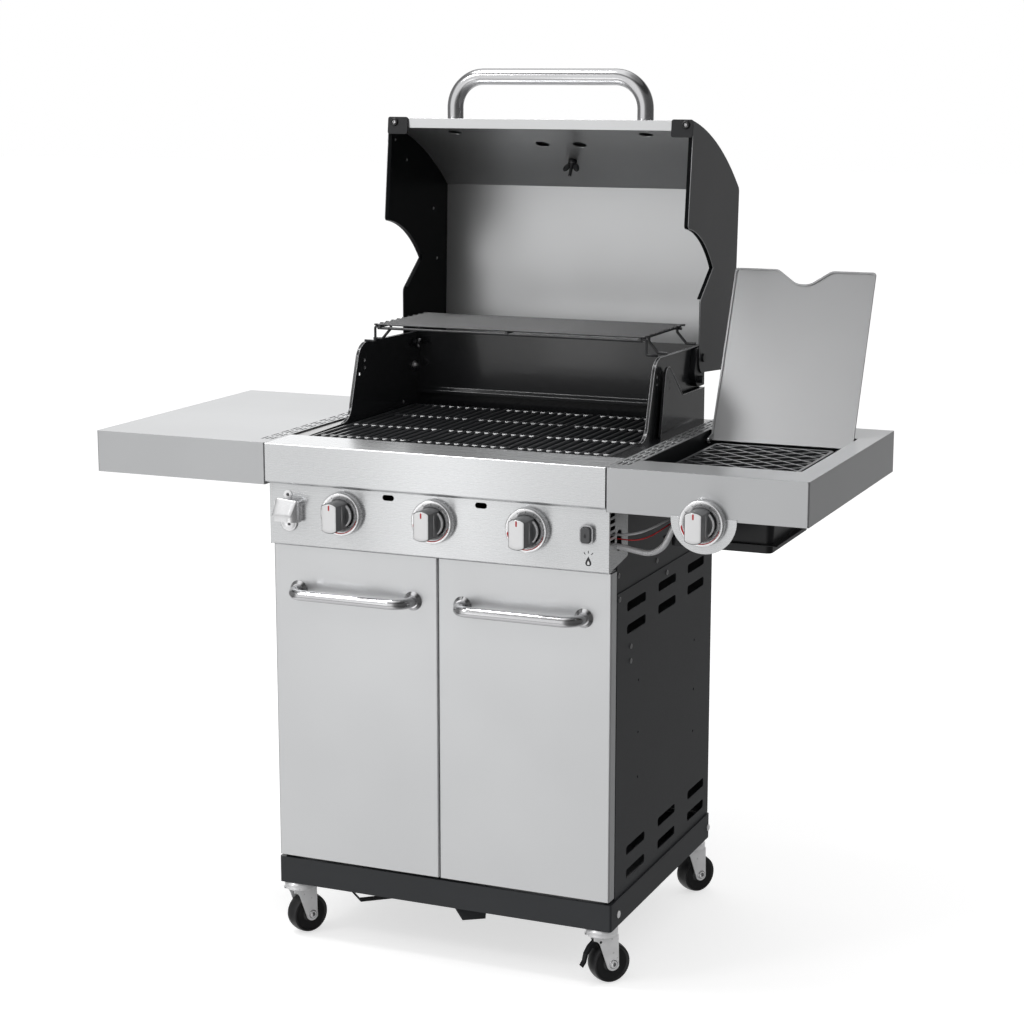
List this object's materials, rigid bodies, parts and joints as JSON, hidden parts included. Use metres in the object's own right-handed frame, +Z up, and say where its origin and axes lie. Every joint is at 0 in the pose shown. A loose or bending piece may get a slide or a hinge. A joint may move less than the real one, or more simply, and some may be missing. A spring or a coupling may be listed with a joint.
{
  "type": "gas barbecue grill",
  "caption": "Free-standing gas barbecue with a hinged roasting lid, cabinet doors, side shelves, a lidded side burner, control knobs and swivelling casters.",
  "frame": {"origin": "on the ground, under the middle of the bounding box with both lids open", "axes": "+X to the side-burner shelf (the user's right), +Y to the back, +Z up"},
  "size_m": [1.335, 0.8127, 1.5735],
  "materials": {
    "stainless": "brushed stainless sheet, satin",
    "dark_sheet": "satin graphite powder coat",
    "black_sheet": "satin black enamel",
    "grate_iron": "matt black porcelain enamel on iron",
    "chrome_tube": "polished stainless tube",
    "knob": "dark metallic grey lacquer",
    "bezel": "bright plated ring",
    "brass_part": "machined brass",
    "zinc": "zinc plated steel",
    "liner": "bright rolled stainless sheet",
    "enamel": "gloss black porcelain enamel",
    "wire": "black enamelled wire",
    "hose": "corrugated metal hose",
    "lead": "insulated igniter lead",
    "wheel": "black moulded wheel"
  },
  "bodies": {
    "cart": {"base_frame": "dark_sheet", "side_panel_left": "dark_sheet", "side_panel_right": "dark_sheet", "upper_frame": "dark_sheet", "back_panel": "dark_sheet", "control_panel": "stainless", "knob_bezels": "bezel", "side_knob_plate": "stainless", "gas_manifold": "brass_part", "bottle_opener": "chrome_tube", "hinge_pins": "zinc", "firebox_side_left": "enamel", "firebox_side_right": "enamel", "firebox_pan": "enamel", "firebox_rear": "enamel", "burners": "stainless", "heat_plates": "black_sheet", "cooking_grates": "grate_iron", "warming_rack": "wire", "shelf_left": "stainless", "shelf_right": "stainless", "side_burner_box": "black_sheet", "side_burner": "brass_part", "side_grate": "grate_iron", "gas_hose": "hose", "igniter_wires": "lead", "hinge_brackets": "black_sheet", "caster_mounts": "zinc"},
    "lid": {"lid_skin": "stainless", "lid_liner": "liner", "lid_sides": "dark_sheet", "lid_corners": "black_sheet", "lid_handle": "chrome_tube", "thermometer": "chrome_tube"},
    "side_lid": {"side_lid": "stainless"},
    "door_left": {"door_left": "stainless", "door_handle_left": "chrome_tube"},
    "door_right": {"door_right": "stainless", "door_handle_right": "chrome_tube"},
    "grease_tray": {"grease_tray": "zinc"},
    "igniter_button": {"igniter_button": "knob"},
    "plug_left": {"valve_plug_left": "brass_part"},
    "knob_left": {"knob_left": "knob"},
    "plug_centre": {"valve_plug_centre": "brass_part"},
    "knob_centre": {"knob_centre": "knob"},
    "plug_right": {"valve_plug_right": "brass_part"},
    "knob_right": {"knob_right": "knob"},
    "plug_side": {"valve_plug_side": "brass_part"},
    "knob_side": {"knob_side": "knob"},
    "fork_front_right": {"caster_fork_front_right": "zinc"},
    "wheel_front_right": {"caster_wheel_front_right": "wheel"},
    "fork_front_left": {"caster_fork_front_left": "zinc"},
    "wheel_front_left": {"caster_wheel_front_left": "wheel"},
    "fork_rear_right": {"caster_fork_rear_right": "zinc"},
    "wheel_rear_right": {"caster_wheel_rear_right": "wheel"},
    "fork_rear_left": {"caster_fork_rear_left": "zinc"},
    "wheel_rear_left": {"caster_wheel_rear_left": "wheel"},
    "brake_front_right": {"brake_lever_front_right": "black_sheet"},
    "brake_rear_left": {"brake_lever_rear_left": "black_sheet"}
  },
  "joints": [
    {"name": "lid_hinge", "type": "hinge", "parent": "cart", "child": "lid", "pos_m": [0, 0.1975, 1.045], "axis": [-1, 0, 0], "range_deg": [-95, 0]},
    {"name": "side_lid_hinge", "type": "hinge", "parent": "cart", "child": "side_lid", "pos_m": [0.492, 0.0705, 0.912], "axis": [-1, 0, 0], "range_deg": [-113.8, 0]},
    {"name": "door_left_hinge", "type": "hinge", "parent": "cart", "child": "door_left", "pos_m": [-0.314, -0.3075, 0.45], "axis": [0, 0, -1], "range_deg": [0, 100]},
    {"name": "door_right_hinge", "type": "hinge", "parent": "cart", "child": "door_right", "pos_m": [0.314, -0.3075, 0.45], "axis": [0, 0, 1], "range_deg": [0, 100]},
    {"name": "valve_turn_left", "type": "hinge", "parent": "cart", "child": "plug_left", "pos_m": [-0.176, -0.3335, 0.809], "axis": [0, -1, 0], "range_deg": [0, 225]},
    {"name": "knob_push_left", "type": "slide", "parent": "plug_left", "child": "knob_left", "axis": [0, 1, 0], "range_m": [0, 0.003], "stiffness_N_per_m": 800},
    {"name": "valve_turn_centre", "type": "hinge", "parent": "cart", "child": "plug_centre", "pos_m": [0, -0.3335, 0.809], "axis": [0, -1, 0], "range_deg": [0, 225]},
    {"name": "knob_push_centre", "type": "slide", "parent": "plug_centre", "child": "knob_centre", "axis": [0, 1, 0], "range_m": [0, 0.003], "stiffness_N_per_m": 800},
    {"name": "valve_turn_right", "type": "hinge", "parent": "cart", "child": "plug_right", "pos_m": [0.176, -0.3335, 0.809], "axis": [0, -1, 0], "range_deg": [0, 225]},
    {"name": "knob_push_right", "type": "slide", "parent": "plug_right", "child": "knob_right", "axis": [0, 1, 0], "range_m": [0, 0.003], "stiffness_N_per_m": 800},
    {"name": "valve_turn_side", "type": "hinge", "parent": "cart", "child": "plug_side", "pos_m": [0.492, -0.3529, 0.849], "axis": [0, -1, 0], "range_deg": [0, 225]},
    {"name": "knob_push_side", "type": "slide", "parent": "plug_side", "child": "knob_side", "axis": [0, 1, 0], "range_m": [0, 0.003], "stiffness_N_per_m": 800},
    {"name": "igniter_push", "type": "slide", "parent": "cart", "child": "igniter_button", "axis": [0, 1, 0], "range_m": [0, 0.004], "stiffness_N_per_m": 600},
    {"name": "grease_tray_slide", "type": "slide", "parent": "cart", "child": "grease_tray", "axis": [0, 1, 0], "range_m": [0, 0.25]},
    {"name": "caster_swivel_front_right", "type": "hinge", "parent": "cart", "child": "fork_front_right", "pos_m": [0.298, -0.2915, 0.09], "axis": [0, 0, 1], "continuous": true},
    {"name": "wheel_spin_front_right", "type": "hinge", "parent": "fork_front_right", "child": "wheel_front_right", "pos_m": [0.30737, -0.2811, 0.0365], "axis": [0.7431, -0.6691, 0], "continuous": true},
    {"name": "caster_swivel_front_left", "type": "hinge", "parent": "cart", "child": "fork_front_left", "pos_m": [-0.298, -0.2915, 0.09], "axis": [0, 0, 1], "continuous": true},
    {"name": "wheel_spin_front_left", "type": "hinge", "parent": "fork_front_left", "child": "wheel_front_left", "pos_m": [-0.291, -0.27938, 0.0365], "axis": [0.866, -0.5, 0], "continuous": true},
    {"name": "caster_swivel_rear_right", "type": "hinge", "parent": "cart", "child": "fork_rear_right", "pos_m": [0.298, 0.1905, 0.09], "axis": [0, 0, 1], "continuous": true},
    {"name": "wheel_spin_rear_right", "type": "hinge", "parent": "fork_rear_right", "child": "wheel_rear_right", "pos_m": [0.30583, 0.20211, 0.0365], "axis": [0.829, -0.5592, 0], "continuous": true},
    {"name": "caster_swivel_rear_left", "type": "hinge", "parent": "cart", "child": "fork_rear_left", "pos_m": [-0.298, 0.1905, 0.09], "axis": [0, 0, 1], "continuous": true},
    {"name": "wheel_spin_rear_left", "type": "hinge", "parent": "fork_rear_left", "child": "wheel_rear_left", "pos_m": [-0.28938, 0.20153, 0.0365], "axis": [0.788, -0.6157, 0], "continuous": true},
    {"name": "brake_press_front_right", "type": "hinge", "parent": "fork_front_right", "child": "brake_front_right", "pos_m": [0.29064, -0.29967, 0.081], "axis": [0.7431, -0.6691, 0], "range_deg": [0, 10]},
    {"name": "brake_press_rear_left", "type": "hinge", "parent": "fork_rear_left", "child": "brake_rear_left", "pos_m": [-0.30477, 0.18183, 0.081], "axis": [0.788, -0.6157, 0], "range_deg": [0, 10]}
  ]
}
